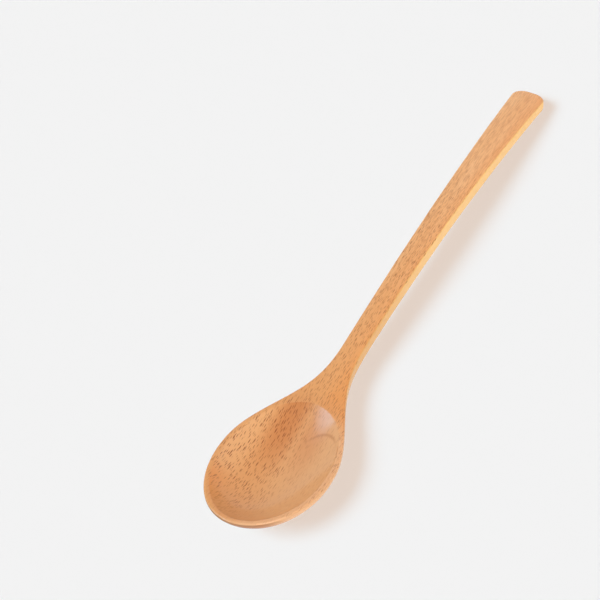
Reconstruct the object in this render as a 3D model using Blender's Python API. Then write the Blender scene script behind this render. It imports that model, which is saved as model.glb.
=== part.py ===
"""A wooden spoon carved from one piece of beech: a shallow oval bowl on a long, slender handle.

The spoon lies along Y with its bowl towards -Y. It stands on Z = 0 on two places: the flat that
sanding leaves under its bowl, and the lower edge of its handle's end. Distances called along
run from the bowl's tip to the handle's end, and distances called across run from the middle
line. All sizes are in metres.
"""

import math
from enum import IntEnum

import bmesh
import bpy

# Lengths, one after the other from the bowl's tip to the handle's end
TIP_TO_WIDEST = 0.031
WIDEST_TO_HOLLOW_END = 0.0302
HOLLOW_END_TO_DIP = 0.0048
DIP_TO_NECK = 0.0284
NECK_TO_ARCH = 0.0406
ARCH_TO_END = 0.105

# Widths, and the size of the end's rounded corners, seen from above
BOWL_WIDTH = 0.0415
NECK_WIDTH = 0.0081
END_WIDTH = 0.0139
END_CORNER_WIDTH = 0.0057
END_CORNER_LENGTH = 0.0049
RIM_WIDTH = 0.0019
FOOT_WIDTH = 0.0090

# Heights of the upper side over the table
TIP_HEIGHT = 0.0168
RIM_HEIGHT = 0.0114
DIP_HEIGHT = 0.0087
NECK_HEIGHT = 0.0116
ARCH_HEIGHT = 0.0137

# Thicknesses on the middle line
FLOOR_THICKNESS = 0.0034
NECK_THICKNESS = 0.0072
HANDLE_THICKNESS = 0.0080
END_THICKNESS = 0.0061

# Rounded edges, and the upright stretch of wall under the upper edge
EDGE_RADIUS = 0.0008
HOLLOW_EDGE_RADIUS = 0.0006
END_LOWER_RADIUS = 0.0012
SIDE_WALL = 0.0012

# Exponents of the curves: 2 gives an ellipse, and more gives a squarer curve
BOWL_TIP_SQUARENESS = 1.97
SHOULDER_FULLNESS = 2.2
SHOULDER_HOLLOWING = 4.07
HANDLE_FLARE = 1.75
HOLLOW_END_SQUARENESS = 2.0
HOLLOW_ROUNDNESS = 2.2
BOWL_ROUNDNESS = 1.95
BOWL_TIP_SWEEP = 1.46
HANDLE_SQUARENESS = 4.0

# Limits on the rounded edges and corners, as shares of the rim, the wall and the half-width that
# they are cut into
HOLLOW_EDGE_SHARE = 0.4
RIM_EDGE_SHARE = 0.55
WALL_EDGE_SHARE = 0.9
CORNER_SHARE = 0.85

# How finely the surface is divided, and how its rings and columns are spaced
FRONT_STEPS = 12
SHOULDER_STEPS = 12
UPPER_COLUMNS = 2
LOWER_COLUMNS = 6
HOLLOW_RINGS = 9
UNDERSIDE_RINGS = 10
HANDLE_STATIONS = 34
CORNER_STATIONS = 6
EDGE_SEGMENTS = 3
HOLLOW_CENTRE_SHARE = 0.08
HOLLOW_RING_SPACING = 0.8
SHOULDER_COLUMN_LEAN = 4.0
FOOT_HALVINGS = 30
SHARP_ANGLE = math.radians(40.0)

# Places along the spoon that follow from the lengths: the handle's section starts at the dip, and
# its underside meets the table where the rounding of its end starts
WIDEST = TIP_TO_WIDEST
DIP = WIDEST + WIDEST_TO_HOLLOW_END + HOLLOW_END_TO_DIP
NECK = DIP + DIP_TO_NECK
ARCH = NECK + NECK_TO_ARCH
LENGTH = ARCH + ARCH_TO_END
END_REST = LENGTH - END_LOWER_RADIUS
CORNER_START = LENGTH - END_CORNER_LENGTH

# Beech, oiled: a warm orange tan with a soft gloss
BEECH_COLOUR = (0.724, 0.359, 0.147, 1.0)
BEECH_ROUGHNESS = 0.45


class Mark(IntEnum):
    """What a vertex belongs to: the two kinds of edge that are rounded, or neither."""

    PLAIN = 0
    UPPER = 1
    HOLLOW = 2


def clear_scene():
    """Remove the objects that the scene starts with."""
    for scene_object in list(bpy.data.objects):
        bpy.data.objects.remove(scene_object, do_unlink=True)


def smooth_step(share):
    """Ease from 0 to 1, level at both ends."""
    share = min(1.0, max(0.0, share))
    return share * share * (3.0 - 2.0 * share)


def quarter_curve(share, exponent):
    """Rise from 0 to 1 along a quarter of an ellipse-like curve, steepest at the end."""
    share = min(1.0, max(0.0, share))
    return 1.0 - (1.0 - share**exponent) ** (1.0 / exponent)


def smooth_curve(stations, along):
    """Read a smooth curve through (along, value) stations."""
    places = [place for place, _ in stations]
    values = [value for _, value in stations]
    spans = [after - before for before, after in zip(places, places[1:])]
    steps = [(after - before) / span for before, after, span in zip(values, values[1:], spans)]
    slopes = [
        (step * next_span + next_step * span) / (span + next_span)
        for step, next_step, span, next_span in zip(steps, steps[1:], spans, spans[1:])
    ]
    slopes = [2.0 * steps[0] - slopes[0], *slopes, 2.0 * steps[-1] - slopes[-1]]
    index = sum(1 for place in places[1:-1] if along > place)
    span = spans[index]
    t = (along - places[index]) / span
    return (
        (2.0 * t**3 - 3.0 * t**2 + 1.0) * values[index]
        + (t**3 - 2.0 * t**2 + t) * span * slopes[index]
        + (3.0 * t**2 - 2.0 * t**3) * values[index + 1]
        + (t**3 - t**2) * span * slopes[index + 1]
    )


def half_width(along):
    """Half the outline's width, seen from above."""
    half_bowl = BOWL_WIDTH / 2.0
    half_neck = NECK_WIDTH / 2.0
    if along <= WIDEST:
        share = (WIDEST - along) / TIP_TO_WIDEST
        return half_bowl * (1.0 - quarter_curve(share, BOWL_TIP_SQUARENESS))
    if along <= NECK:
        share = (along - WIDEST) / (NECK - WIDEST)
        swell = (1.0 - share**SHOULDER_FULLNESS) ** SHOULDER_HOLLOWING
        return half_neck + (half_bowl - half_neck) * swell
    share = (along - NECK) / (LENGTH - NECK)
    half_handle = half_neck + (END_WIDTH / 2.0 - half_neck) * share**HANDLE_FLARE
    into_corner = (along - CORNER_START) / END_CORNER_LENGTH
    corner_width = min(END_CORNER_WIDTH, CORNER_SHARE * half_handle)
    return half_handle - corner_width * quarter_curve(into_corner, 2.0)


def top_height(along):
    """Height of the rim and of the handle's upper side."""
    bowl = [(0.0, TIP_HEIGHT), (WIDEST, RIM_HEIGHT), (DIP, DIP_HEIGHT)]
    handle = [(NECK, NECK_HEIGHT), (ARCH, ARCH_HEIGHT), (END_REST, END_THICKNESS)]
    return smooth_curve([*bowl, *handle], along)


def edge_height(along):
    """Height where the upright wall under the upper edge ends."""
    return top_height(along) - SIDE_WALL


def handle_underside_height(along):
    """Height of the handle's underside on the middle line."""
    stations = [(NECK, NECK_THICKNESS), (ARCH, HANDLE_THICKNESS), (END_REST, END_THICKNESS)]
    into_end = (along - END_REST) / END_LOWER_RADIUS
    rounding = END_LOWER_RADIUS * quarter_curve(into_end, 2.0)
    return top_height(along) - smooth_curve(stations, max(along, NECK)) + rounding


def foot_cut():
    """Depth that sanding takes off under the bowl to leave a flat foot of its width."""
    rise = quarter_curve(FOOT_WIDTH / BOWL_WIDTH, BOWL_ROUNDNESS)
    return edge_height(WIDEST) * rise / (1.0 - rise)


def keel_height(along):
    """Height of the uncut underside on the middle line, a little under the table at the foot."""
    if along <= WIDEST:
        rise = quarter_curve((WIDEST - along) / TIP_TO_WIDEST, BOWL_TIP_SWEEP)
        target = edge_height(along)
    else:
        rise = smooth_step((along - WIDEST) / (NECK - WIDEST))
        target = handle_underside_height(along)
    return (target + foot_cut()) * rise - foot_cut()


def underside_height(across, along):
    """Height of the underside, which turns from a round bowl into a handle with rounded edges."""
    share = abs(across) / max(half_width(along), EDGE_RADIUS)
    blend = smooth_step((along - WIDEST) / (NECK - WIDEST))
    squareness = BOWL_ROUNDNESS + (HANDLE_SQUARENESS - BOWL_ROUNDNESS) * blend
    keel = keel_height(along)
    return keel + (edge_height(along) - keel) * quarter_curve(share, squareness)


def front_quarter(step, half_across, length):
    """Point of the front quarter of an oval round the widest place, as (across, along)."""
    angle = 0.5 * math.pi * step / FRONT_STEPS
    exponent = 2.0 / BOWL_TIP_SQUARENESS
    across = half_across * math.sin(angle) ** exponent
    return across, WIDEST - length * max(0.0, math.cos(angle)) ** exponent


def hollow_point(step, columns):
    """Point of the hollow's edge for a step round its right half, from the tip to the neck."""
    half_hollow = BOWL_WIDTH / 2.0 - RIM_WIDTH
    if step <= FRONT_STEPS:
        return front_quarter(step, half_hollow, TIP_TO_WIDEST - RIM_WIDTH)
    exponent = 2.0 / HOLLOW_END_SQUARENESS
    neck_share = min(1.0, half_width(DIP) / half_hollow)
    if step <= FRONT_STEPS + SHOULDER_STEPS:
        corner_angle = math.acos(neck_share ** (1.0 / exponent))
        angle = corner_angle * (step - FRONT_STEPS) / SHOULDER_STEPS
    else:
        column_share = (FRONT_STEPS + SHOULDER_STEPS + columns - step) / columns
        angle = math.acos((neck_share * column_share) ** (1.0 / exponent))
    across = half_hollow * math.cos(angle) ** exponent
    return across, WIDEST + WIDEST_TO_HOLLOW_END * math.sin(angle) ** exponent


def outline_point(step, columns, column_share):
    """Point of the outline for the same step, or of the line where the handle starts."""
    if step <= FRONT_STEPS:
        return front_quarter(step, BOWL_WIDTH / 2.0, TIP_TO_WIDEST)
    if step > FRONT_STEPS + SHOULDER_STEPS:
        share = column_share(FRONT_STEPS + SHOULDER_STEPS + columns - step, columns)
        return share * half_width(DIP), DIP
    _, hollow_along = hollow_point(step, columns)
    _, hollow_corner = hollow_point(FRONT_STEPS + SHOULDER_STEPS, columns)
    share = (step - FRONT_STEPS) / SHOULDER_STEPS
    along = hollow_along + (DIP - hollow_corner) * share**SHOULDER_COLUMN_LEAN
    return half_width(along), along


def narrowest_rim():
    """The rim's least width between the hollow and the outline."""
    steps = range(FRONT_STEPS + SHOULDER_STEPS + 1)
    return min(
        math.dist(hollow_point(step, UPPER_COLUMNS), outline_point(step, UPPER_COLUMNS, even_share))
        for step in steps
    )


def even_share(column, columns):
    """Spread columns evenly across the flat upper side."""
    return column / columns


def rounded_share(column, columns):
    """Draw columns closer together towards the rounded lower edge."""
    return math.sin(0.5 * math.pi * column / columns)


def mirrored(point_of_step, spoke, spokes):
    """Point for a spoke of the whole round, from the function for the steps of its right half."""
    across, along = point_of_step(min(spoke, spokes - spoke))
    return (across if spoke <= spokes - spoke else -across), along


def towards(point, middle, share):
    """Point at a share of the way from a middle point to another."""
    return tuple(start + share * (end - start) for start, end in zip(middle, point))


def start_ring(bm, spokes, place):
    """Start a surface with a flat polygon, one vertex for each spoke."""
    spoke_layer = bm.verts.layers.int["spoke"]
    ring = bmesh.ops.create_circle(bm, cap_ends=True, segments=spokes, radius=1.0)["verts"]
    for spoke, vert in enumerate(ring):
        vert[spoke_layer] = spoke
        vert.co = place(spoke)
    return list(dict.fromkeys(edge for vert in ring for edge in vert.link_edges))


def grow(bm, edges, place, mark=Mark.PLAIN):
    """Extrude edges outwards, with each new vertex placed by its spoke, and return the new edges."""
    spoke_layer = bm.verts.layers.int["spoke"]
    mark_layer = bm.verts.layers.int["mark"]
    geometry = bmesh.ops.extrude_edge_only(bm, edges=edges)["geom"]
    for vert in (item for item in geometry if isinstance(item, bmesh.types.BMVert)):
        vert.co = place(vert[spoke_layer])
        vert[mark_layer] = mark
    return [item for item in geometry if isinstance(item, bmesh.types.BMEdge)]


def make_upper_side(bm):
    """Make the hollow, its rim and the shoulder up to where the handle starts."""
    spokes = 2 * (FRONT_STEPS + SHOULDER_STEPS + UPPER_COLUMNS)
    middle = (0.0, WIDEST)

    def hollow(spoke):
        return mirrored(lambda step: hollow_point(step, UPPER_COLUMNS), spoke, spokes)

    def outline(spoke):
        return mirrored(lambda step: outline_point(step, UPPER_COLUMNS, even_share), spoke, spokes)

    def place_in_hollow(share):
        def place(spoke):
            across, along = towards(hollow(spoke), middle, share)
            rise = share**HOLLOW_ROUNDNESS
            return across, along, FLOOR_THICKNESS + (top_height(along) - FLOOR_THICKNESS) * rise
        return place

    def place_on_top(spoke):
        across, along = outline(spoke)
        return across, along, top_height(along)

    edges = start_ring(bm, spokes, place_in_hollow(HOLLOW_CENTRE_SHARE))
    for ring in range(1, HOLLOW_RINGS + 1):
        outwards = (ring / HOLLOW_RINGS) ** HOLLOW_RING_SPACING
        share = HOLLOW_CENTRE_SHARE + (1.0 - HOLLOW_CENTRE_SHARE) * outwards
        mark = Mark.HOLLOW if ring == HOLLOW_RINGS else Mark.PLAIN
        edges = grow(bm, edges, place_in_hollow(share), mark)
    return grow(bm, edges, place_on_top)


def make_side_wall(bm, top_edges):
    """Make the upright wall under the rim, and leave the line where the handle starts open."""
    mark_layer = bm.verts.layers.int["mark"]
    tolerance = 0.001 * SIDE_WALL
    outer_edges = [
        edge for edge in top_edges
        if min(vert.co.y for vert in edge.verts) < DIP - tolerance
    ]
    for edge in outer_edges:
        for vert in edge.verts:
            vert[mark_layer] = Mark.UPPER
    geometry = bmesh.ops.extrude_edge_only(bm, edges=outer_edges)["geom"]
    for vert in (item for item in geometry if isinstance(item, bmesh.types.BMVert)):
        vert.co.z = edge_height(vert.co.y)
        vert[mark_layer] = Mark.PLAIN


def foot_share(edge_point, middle):
    """Share of the way out from the middle at which the underside leaves the table."""
    inner, outer = 0.0, 1.0
    for _ in range(FOOT_HALVINGS):
        share = 0.5 * (inner + outer)
        on_table = underside_height(*towards(edge_point, middle, share)) < 0.0
        inner, outer = (share, outer) if on_table else (inner, share)
    return inner


def make_underside(bm):
    """Make the bowl's underside, from its foot out to the wall and to where the handle starts."""
    spokes = 2 * (FRONT_STEPS + SHOULDER_STEPS + LOWER_COLUMNS)
    middle = (0.0, WIDEST)

    def outline(spoke):
        return mirrored(lambda step: outline_point(step, LOWER_COLUMNS, rounded_share), spoke, spokes)

    def place_foot(spoke):
        edge_point = outline(spoke)
        return *towards(edge_point, middle, foot_share(edge_point, middle)), 0.0

    def place_underside(turn):
        def place(spoke):
            edge_point = outline(spoke)
            foot = foot_share(edge_point, middle)
            across, along = towards(edge_point, middle, foot + (1.0 - foot) * turn)
            return across, along, underside_height(across, along)
        return place

    def place_edge(spoke):
        across, along = outline(spoke)
        step = min(spoke, spokes - spoke)
        on_wall = step <= FRONT_STEPS + SHOULDER_STEPS
        return across, along, edge_height(along) if on_wall else underside_height(across, along)

    edges = start_ring(bm, spokes, place_foot)
    for ring in range(1, UNDERSIDE_RINGS):
        turn = math.sin(0.5 * math.pi * ring / UNDERSIDE_RINGS)
        edges = grow(bm, edges, place_underside(turn))
    grow(bm, edges, place_edge)


def close_seam(bm):
    """Join the wall's lower edge to the underside."""
    open_verts = dict.fromkeys(vert for edge in bm.edges if edge.is_boundary for vert in edge.verts)
    bmesh.ops.remove_doubles(bm, verts=list(open_verts), dist=0.01 * EDGE_RADIUS)


def handle_stations():
    """Places along the handle, closer together round the corners of its end."""
    straight = CORNER_START - DIP
    stations = [DIP + straight * step / HANDLE_STATIONS for step in range(1, HANDLE_STATIONS + 1)]
    for step in range(1, CORNER_STATIONS + 1):
        turn = math.sin(0.5 * math.pi * step / CORNER_STATIONS)
        stations.append(CORNER_START + END_CORNER_LENGTH * turn)
    return stations


def make_handle(bm):
    """Extrude the open section along the handle, and close it at the end."""
    share_layer = bm.verts.layers.float["share"]
    upper_layer = bm.verts.layers.int["upper"]
    mark_layer = bm.verts.layers.int["mark"]
    edges = [edge for edge in bm.edges if edge.is_boundary]
    for vert in dict.fromkeys(vert for edge in edges for vert in edge.verts):
        vert[share_layer] = vert.co.x / half_width(DIP)
        vert[upper_layer] = int(vert.co.z > top_height(DIP) - 0.5 * SIDE_WALL)
    for along in handle_stations():
        at_end = along > LENGTH - 0.001 * END_CORNER_LENGTH
        geometry = bmesh.ops.extrude_edge_only(bm, edges=edges)["geom"]
        for vert in (item for item in geometry if isinstance(item, bmesh.types.BMVert)):
            across = vert[share_layer] * half_width(along)
            upper = vert[upper_layer]
            on_side = abs(vert[share_layer]) > 0.999
            lower_height = edge_height(along) if on_side else underside_height(across, along)
            vert.co = across, along, top_height(along) if upper else lower_height
            vert[mark_layer] = Mark.UPPER if upper and (on_side or at_end) else Mark.PLAIN
        edges = [item for item in geometry if isinstance(item, bmesh.types.BMEdge)]
    bmesh.ops.edgeloop_fill(bm, edges=edges)


def merge_end_top(bm):
    """Make one face of the upper side between the rounded corners, so that its edge can be rounded."""
    upper_layer = bm.verts.layers.int["upper"]
    before_corners = CORNER_START - 0.001 * END_CORNER_LENGTH
    faces = [
        face for face in bm.faces
        if all(vert[upper_layer] and vert.co.y > before_corners for vert in face.verts)
    ]
    bmesh.ops.dissolve_faces(bm, faces=faces, use_verts=False)


def round_edges(bm, mark, radius):
    """Round the edges between vertices with the same mark."""
    mark_layer = bm.verts.layers.int["mark"]
    edges = [edge for edge in bm.edges if all(vert[mark_layer] == mark for vert in edge.verts)]
    bmesh.ops.bevel(
        bm,
        geom=edges,
        offset=radius,
        offset_type="OFFSET",
        affect="EDGES",
        segments=EDGE_SEGMENTS,
        profile=0.5,
        clamp_overlap=True,
        material=-1,
    )


def split_faces(bm):
    """Split each face along its shorter diagonal, so that the left and right halves match."""
    bmesh.ops.triangulate(bm, faces=bm.faces, quad_method="SHORT_EDGE", ngon_method="BEAUTY")


def make_material():
    """Oiled beech."""
    material = bpy.data.materials.new("oiled_beech")
    material.use_nodes = True
    shader = material.node_tree.nodes["Principled BSDF"]
    shader.inputs["Base Color"].default_value = BEECH_COLOUR
    shader.inputs["Roughness"].default_value = BEECH_ROUGHNESS
    shader.inputs["Metallic"].default_value = 0.0
    return material


def make_spoon():
    """Carve the spoon as one closed body, with its middle over the origin."""
    bm = bmesh.new()
    for name in ("spoke", "mark", "upper"):
        bm.verts.layers.int.new(name)
    bm.verts.layers.float.new("share")
    top_edges = make_upper_side(bm)
    make_side_wall(bm, top_edges)
    make_underside(bm)
    close_seam(bm)
    make_handle(bm)
    merge_end_top(bm)
    bmesh.ops.recalc_face_normals(bm, faces=bm.faces)
    rim = narrowest_rim()
    upper_limit = min(RIM_EDGE_SHARE * rim, WALL_EDGE_SHARE * SIDE_WALL)
    round_edges(bm, Mark.HOLLOW, min(HOLLOW_EDGE_RADIUS, HOLLOW_EDGE_SHARE * rim))
    round_edges(bm, Mark.UPPER, min(EDGE_RADIUS, upper_limit))
    split_faces(bm)
    mesh = bpy.data.meshes.new("spoon")
    bm.to_mesh(mesh)
    bm.free()
    mesh.shade_smooth()
    mesh.set_sharp_from_angle(angle=SHARP_ANGLE)
    spoon = bpy.data.objects.new("spoon", mesh)
    spoon.data.materials.append(make_material())
    spoon.location = (0.0, -LENGTH / 2.0, 0.0)
    bpy.context.collection.objects.link(spoon)


clear_scene()
make_spoon()
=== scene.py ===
"""Looks of a wooden spoon: a fine carved surface, oiled beech, a pale table and soft daylight.

The spoon lies along Y with its bowl towards -Y. Distances called along run from the bowl's tip to
the handle's end, and distances called across run from the middle line. Sizes are in metres, and
sizes of the wood's figure are in millimetres, as their names say.
"""

import logging
import math
from collections.abc import Callable
from dataclasses import dataclass
from enum import Enum, IntEnum

import bmesh
import bpy
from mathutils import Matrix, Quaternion, Vector, noise


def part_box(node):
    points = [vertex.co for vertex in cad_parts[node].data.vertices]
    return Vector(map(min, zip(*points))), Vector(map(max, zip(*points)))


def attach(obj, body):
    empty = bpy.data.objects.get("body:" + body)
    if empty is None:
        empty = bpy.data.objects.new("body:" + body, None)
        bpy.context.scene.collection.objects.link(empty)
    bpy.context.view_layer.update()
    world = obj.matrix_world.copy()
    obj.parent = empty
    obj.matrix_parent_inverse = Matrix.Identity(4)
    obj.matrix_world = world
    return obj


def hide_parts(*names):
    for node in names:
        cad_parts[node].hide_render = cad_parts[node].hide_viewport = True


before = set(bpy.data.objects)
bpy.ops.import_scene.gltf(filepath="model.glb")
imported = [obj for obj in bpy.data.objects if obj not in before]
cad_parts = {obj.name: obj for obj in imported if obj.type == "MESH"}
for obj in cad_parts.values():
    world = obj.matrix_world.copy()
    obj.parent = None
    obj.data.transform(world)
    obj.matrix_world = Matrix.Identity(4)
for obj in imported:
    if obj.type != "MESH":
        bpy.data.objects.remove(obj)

Tree = bpy.types.NodeTree
Socket = bpy.types.NodeSocket
Mesh = bmesh.types.BMesh
Edges = list[bmesh.types.BMEdge]
Point = tuple[float, float]
Place = tuple[float, float, float]
Colour = tuple[float, float, float, float]
Spread = Callable[[int, int], float]
Inputs = dict[str | int, Socket | float | tuple[float, ...]]

LOG = logging.getLogger("spoon")
SPOON_NODE = "spoon"
ROOT_BODY = "root"
PHOTO_PIXELS = 600
MM_PER_M = 1000.0
OPEN_GRAIN = "open_grain"
ROUND = 2.0
QUARTER_TURN = 0.5 * math.pi


class Mark(IntEnum):
    """What a vertex belongs to: an edge that is rounded, the inside of the hollow, or neither."""

    PLAIN = 0
    UPPER = 1
    HOLLOW = 2
    INSIDE = 3


class LampRole(Enum):
    """What a lamp is for: the shadow and some shine, filling in without a shadow, or shine alone."""

    KEY = "key"
    FILL = "fill"
    SHINE = "shine"


def smooth_step(share: float) -> float:
    """Ease from 0 to 1, level at both ends."""
    share = min(1.0, max(0.0, share))
    return share * share * (3.0 - 2.0 * share)


def quarter_curve(share: float, exponent: float) -> float:
    """Rise from 0 to 1 along a quarter of an oval, steepest at the end. ROUND makes it a circle's."""
    share = min(1.0, max(0.0, share))
    return 1.0 - (1.0 - share**exponent) ** (1.0 / exponent)


def even_share(column: int, columns: int) -> float:
    """Spread columns evenly across the flat upper side."""
    return column / columns


def rounded_share(column: int, columns: int) -> float:
    """Draw columns closer together towards the rounded lower edge."""
    return math.sin(QUARTER_TURN * column / columns)


def towards(point: Point, middle: Point, share: float) -> Point:
    """Point at a share of the way from a middle point to another."""
    return tuple(start + share * (end - start) for start, end in zip(middle, point))


def linear_colour(hex_colour: str) -> Colour:
    """Turn an sRGB colour into a linear one.

    Args:
        hex_colour: The sRGB colour, such as "#E0A467".

    Returns:
        Linear red, green and blue, and an alpha of 1.
    """
    channels = [int(hex_colour[start:start + 2], 16) / 255.0 for start in (1, 3, 5)]
    linear = [c / 12.92 if c <= 0.04045 else ((c + 0.055) / 1.055) ** 2.4 for c in channels]
    return (*linear, 1.0)


def add_node(tree: Tree, kind: str, inputs: Inputs | None = None, **settings: str) -> bpy.types.Node:
    """Add a node, with its settings, its values and its links.

    Args:
        tree: The tree that the node goes into.
        kind: The node's type, such as "ShaderNodeMath".
        inputs: Socket names or numbers, each with a value or with the output socket to link.
        **settings: The node's own settings, such as operation.

    Returns:
        The new node.
    """
    node = tree.nodes.new(kind)
    for name, value in settings.items():
        setattr(node, name, value)
    for socket, value in (inputs or {}).items():
        if isinstance(value, Socket):
            tree.links.new(value, node.inputs[socket])
        else:
            node.inputs[socket].default_value = value
    return node


def make_material(name: str, values: dict[str, float | Colour]) -> bpy.types.Material:
    """Make a material.

    Args:
        name: The material's name.
        values: The shader's sockets that are the same all over, each with its value.

    Returns:
        The material.
    """
    material = bpy.data.materials.new(name)
    material.use_nodes = True
    shader = material.node_tree.nodes["Principled BSDF"]
    for socket, value in values.items():
        shader.inputs[socket].default_value = value
    return material


def make_object(name: str, data: bpy.types.ID) -> bpy.types.Object:
    """Make an object and put it in the scene.

    Args:
        name: The object's name.
        data: Its mesh, camera or light.

    Returns:
        The object.
    """
    item = bpy.data.objects.new(name, data)
    bpy.context.scene.collection.objects.link(item)
    return item


def extrude(bm: Mesh, edges: Edges) -> tuple[list[bmesh.types.BMVert], Edges]:
    """Extrude open edges.

    Args:
        bm: The mesh.
        edges: The open edges.

    Returns:
        The new vertices and the new open edges.
    """
    geometry = bmesh.ops.extrude_edge_only(bm, edges=edges)["geom"]
    verts = [item for item in geometry if isinstance(item, bmesh.types.BMVert)]
    return verts, [item for item in geometry if isinstance(item, bmesh.types.BMEdge)]


class Reading(Enum):
    """What the strength of a tint can follow from point to point."""

    ACROSS = "mm to the right of the middle line"
    ALONG = "mm from the middle of the spoon's length towards the handle's end"
    SIDEWAYS = "how far the surface faces left or right"
    ENDWAYS = "how far the surface faces along the grain"
    UPWARDS = "how far the surface faces up"
    INSIDE = "how far a point is inside the hollow"
    OUTSIDE = "how far a point is outside the hollow"
    STREAKS = "broad streaks along the grain"
    FIBRES = "fine fibres along the grain"
    OFF_BAND = "mm off the middle of a band of heartwood"
    HEART = "the bands of heartwood"
    OFF_RING = "share of a growth ring's width off its end"
    RINGS = "the dark lines where growth rings end"
    FLECKS = "the rays"


Readings = dict[Reading, Socket]


@dataclass(frozen=True)
class Fade:
    """A strength that eases from one value to another while a reading crosses a span."""

    reading: Reading
    span: Point
    strength: Point

    def add(self, tree: Tree, readings: Readings) -> Socket:
        """Add the fade.

        Args:
            tree: The material's tree.
            readings: The surface's readings.

        Returns:
            The strength.
        """
        return add_node(tree, "ShaderNodeMapRange", {
            "Value": readings[self.reading],
            "From Min": self.span[0],
            "From Max": self.span[1],
            "To Min": self.strength[0],
            "To Max": self.strength[1],
        }, interpolation_type="SMOOTHSTEP").outputs[0]


Limits = tuple[Reading | Fade, ...]


def add_share(tree: Tree, readings: Readings, limits: Limits) -> Socket:
    """Multiply limits together, each of which is a reading as it is or a fade of one.

    Args:
        tree: The material's tree.
        readings: The surface's readings.
        limits: The limits.

    Returns:
        Their product.
    """
    factors = [
        limit.add(tree, readings) if isinstance(limit, Fade) else readings[limit] for limit in limits
    ]
    share = factors[0]
    for factor in factors[1:]:
        share = add_node(tree, "ShaderNodeMath", {0: share, 1: factor}, operation="MULTIPLY").outputs[0]
    return share


@dataclass(frozen=True)
class Tint:
    """A colour laid over the wood as far as its limits say. It may turn into another colour."""

    name: str
    colour: str
    limits: Limits
    turned_colour: str = ""
    turning: Fade | None = None

    def add(self, tree: Tree, readings: Readings, wood: Socket | Colour) -> Socket:
        """Lay the tint over the wood.

        Args:
            tree: The material's tree.
            readings: The surface's readings.
            wood: The colour under the tint.

        Returns:
            The colour with the tint.
        """
        colour = linear_colour(self.colour)
        if self.turning:
            turned = self.turning.add(tree, readings)
            colour = add_node(tree, "ShaderNodeMix", {
                0: turned, 6: colour, 7: linear_colour(self.turned_colour),
            }, data_type="RGBA").outputs[2]
        share = add_share(tree, readings, self.limits)
        return add_node(tree, "ShaderNodeMix", {
            0: share, 6: wood, 7: colour,
        }, data_type="RGBA", label=self.name).outputs[2]


@dataclass(frozen=True)
class RayFlecks:
    """One layer of the rays of beech, which show on a flat-sawn face as short dashes along the grain.

    Each ray is a thin upright sheet, so it is given by the size of the cell that holds it, in mm,
    across the grain and along it. A random weight makes a ray larger, up to a share of its cell,
    and darker, up to the layer's strength, and a higher rarity leaves fewer heavy rays. Real rays
    are about 0.1 mm wide, too fine to show in a picture of the whole spoon, so these are drawn two
    to three times as wide.
    """

    cell_mm: Point
    share: float
    rarity: float
    strength: float
    seed: float
    least_size: float = 0.6
    dark_core: float = 0.3

    def add(self, tree: Tree, place: Socket) -> Socket:
        """Draw the layer.

        Args:
            tree: The material's tree.
            place: Each point's place on the spoon, in mm.

        Returns:
            How much of a fleck a point has.
        """
        cell_place = add_node(tree, "ShaderNodeMapping", {
            "Vector": place,
            "Scale": (1.0 / self.cell_mm[0], 1.0 / self.cell_mm[1], 1.0),
            "Location": (self.seed,) * 3,
        }).outputs[0]
        cells = add_node(tree, "ShaderNodeTexVoronoi", {
            "Vector": cell_place, "Scale": 1.0,
        }, voronoi_dimensions="2D").outputs
        chance = add_node(tree, "ShaderNodeSeparateColor", {0: cells["Color"]}).outputs[0]
        weight = add_node(tree, "ShaderNodeMath", {
            0: chance, 1: self.rarity,
        }, operation="POWER").outputs[0]
        edge = add_node(tree, "ShaderNodeMapRange", {
            "Value": weight, "To Min": self.least_size * self.share, "To Max": self.share,
        }, interpolation_type="SMOOTHSTEP").outputs[0]
        core = add_node(tree, "ShaderNodeMath", {
            0: edge, 1: self.dark_core,
        }, operation="MULTIPLY").outputs[0]
        fleck = add_node(tree, "ShaderNodeMapRange", {
            "Value": cells["Distance"], "From Min": edge, "From Max": core,
        }, interpolation_type="SMOOTHSTEP").outputs[0]
        for factor in (weight, self.strength):
            fleck = add_node(tree, "ShaderNodeMath", {
                0: fleck, 1: factor,
            }, operation="MULTIPLY").outputs[0]
        return fleck


@dataclass(frozen=True)
class HeartBand:
    """A band of heartwood along the grain, darkest in its middle and towards the neck."""

    middle_mm: float
    reach_mm: float
    strength: float
    start_mm: float
    core_mm: float = 1.0
    full_mm: float = -70.0

    def add(self, tree: Tree, readings: Readings) -> Socket:
        """Draw the band.

        Args:
            tree: The material's tree.
            readings: The surface's readings.

        Returns:
            How much heartwood a point has.
        """
        off_middle = add_node(tree, "ShaderNodeMath", {
            0: readings[Reading.ACROSS], 1: self.middle_mm,
        }, operation="SUBTRACT").outputs[0]
        off_band = add_node(tree, "ShaderNodeMath", {0: off_middle}, operation="ABSOLUTE").outputs[0]
        return add_share(tree, {**readings, Reading.OFF_BAND: off_band}, (
            Fade(Reading.OFF_BAND, (self.core_mm, self.reach_mm), (self.strength, 0.0)),
            Fade(Reading.ALONG, (self.start_mm, self.full_mm), (0.0, 1.0)),
        ))


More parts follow.
